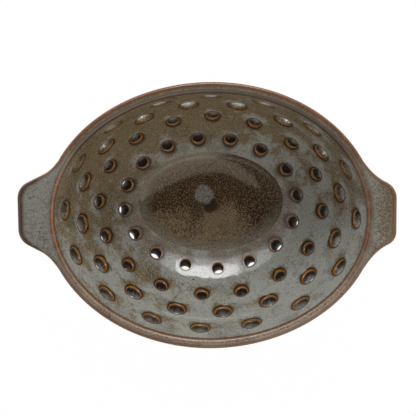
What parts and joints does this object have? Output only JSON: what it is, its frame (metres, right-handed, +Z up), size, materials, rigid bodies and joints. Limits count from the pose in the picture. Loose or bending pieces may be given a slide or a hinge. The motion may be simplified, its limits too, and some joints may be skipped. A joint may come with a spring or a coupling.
{
  "type": "berry colander bowl",
  "caption": "Oval stoneware bowl with staggered rows of drain holes in its curved wall, a solid floor, a rounded rim, two lug handles and a foot ring, for rinsing and serving berries.",
  "frame": {"origin": "on the table, under the middle of the bowl", "axes": "+X along the bowl's length through the right handle, +Y across its width, +Z up out of the mouth"},
  "size_m": [0.252, 0.179, 0.09],
  "materials": {
    "wall_glaze": "glossy blue-grey reactive glaze with brown mottling and dark specks, rust brown where it breaks over the hole edges",
    "floor_glaze": "dark brown pooled glaze with fine pale specks, glossy",
    "rim_glaze": "thin glossy glaze that breaks to rust brown along the edges",
    "handle_glaze": "glossy blue-grey glaze with dark specks, rust brown at the edges",
    "bare_clay": "unglazed stoneware, matt and slightly gritty"
  },
  "bodies": {
    "root": {"bowl_wall": "wall_glaze", "bowl_floor": "floor_glaze", "rim": "rim_glaze", "foot_ring": "bare_clay", "left_handle": "handle_glaze", "right_handle": "handle_glaze"}
  },
  "joints": []
}
